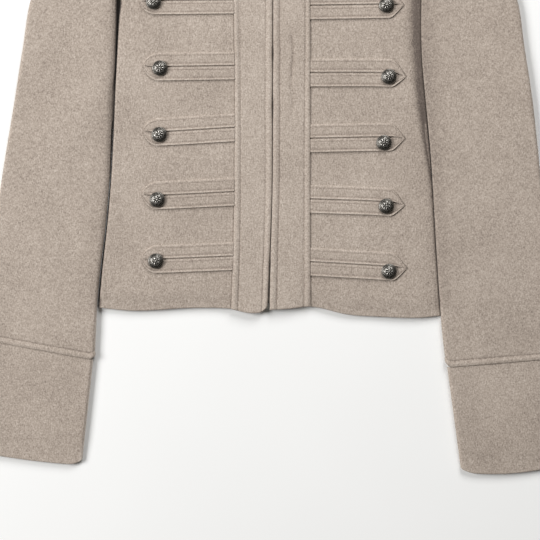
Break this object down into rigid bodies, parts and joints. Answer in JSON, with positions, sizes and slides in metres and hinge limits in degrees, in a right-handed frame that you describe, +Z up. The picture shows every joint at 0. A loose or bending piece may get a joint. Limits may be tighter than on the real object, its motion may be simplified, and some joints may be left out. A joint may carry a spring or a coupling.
{
  "type": "cropped military jacket",
  "caption": "Cropped wool military jacket laid flat on its back, zipped up under a stand collar, with button plackets, rows of pointed straps held by domed metal buttons, and long cuffs.",
  "frame": {"origin": "on the underside of the back panel, on the jacket's centre line, 160 mm above the hem", "axes": "+Z up from the surface it lies on, +Y up the jacket towards the collar, +X towards the wearer's left sleeve"},
  "size_m": [0.709, 0.7214, 0.0165],
  "materials": {
    "wool": "matt melange wool flannel with a soft nap",
    "zip_tape": "dark woven zip tape",
    "old_silver": "antique silver, dark in the hollows",
    "zip_metal": "worn nickel"
  },
  "bodies": {
    "jacket": {"back": "wool", "front_right": "wool", "front_left": "wool", "placket_right": "wool", "placket_left": "wool", "sleeve_upper_right": "wool", "sleeve_under_right": "wool", "sleeve_upper_left": "wool", "sleeve_under_left": "wool", "cuff_right": "wool", "cuff_left": "wool", "collar": "wool", "tab_right_1": "wool", "tab_right_2": "wool", "tab_right_3": "wool", "tab_right_4": "wool", "tab_right_5": "wool", "tab_left_1": "wool", "tab_left_2": "wool", "tab_left_3": "wool", "tab_left_4": "wool", "tab_left_5": "wool", "button_right_1": "old_silver", "button_right_2": "old_silver", "button_right_3": "old_silver", "button_right_4": "old_silver", "button_right_5": "old_silver", "button_left_1": "old_silver", "button_left_2": "old_silver", "button_left_3": "old_silver", "button_left_4": "old_silver", "button_left_5": "old_silver", "zip_tape_right": "zip_tape", "zip_tape_left": "zip_tape", "zip_chain": "zip_metal", "zip_stop": "zip_metal", "zip_slider": "zip_metal"},
    "pull": {"zip_pull": "zip_metal"}
  },
  "joints": [
    {"name": "zip_pull_hinge", "type": "hinge", "parent": "jacket", "child": "pull", "pos_m": [0.0028, 0.253, 0.0116], "axis": [-1, 0, 0], "range_deg": [0, 170]}
  ]
}
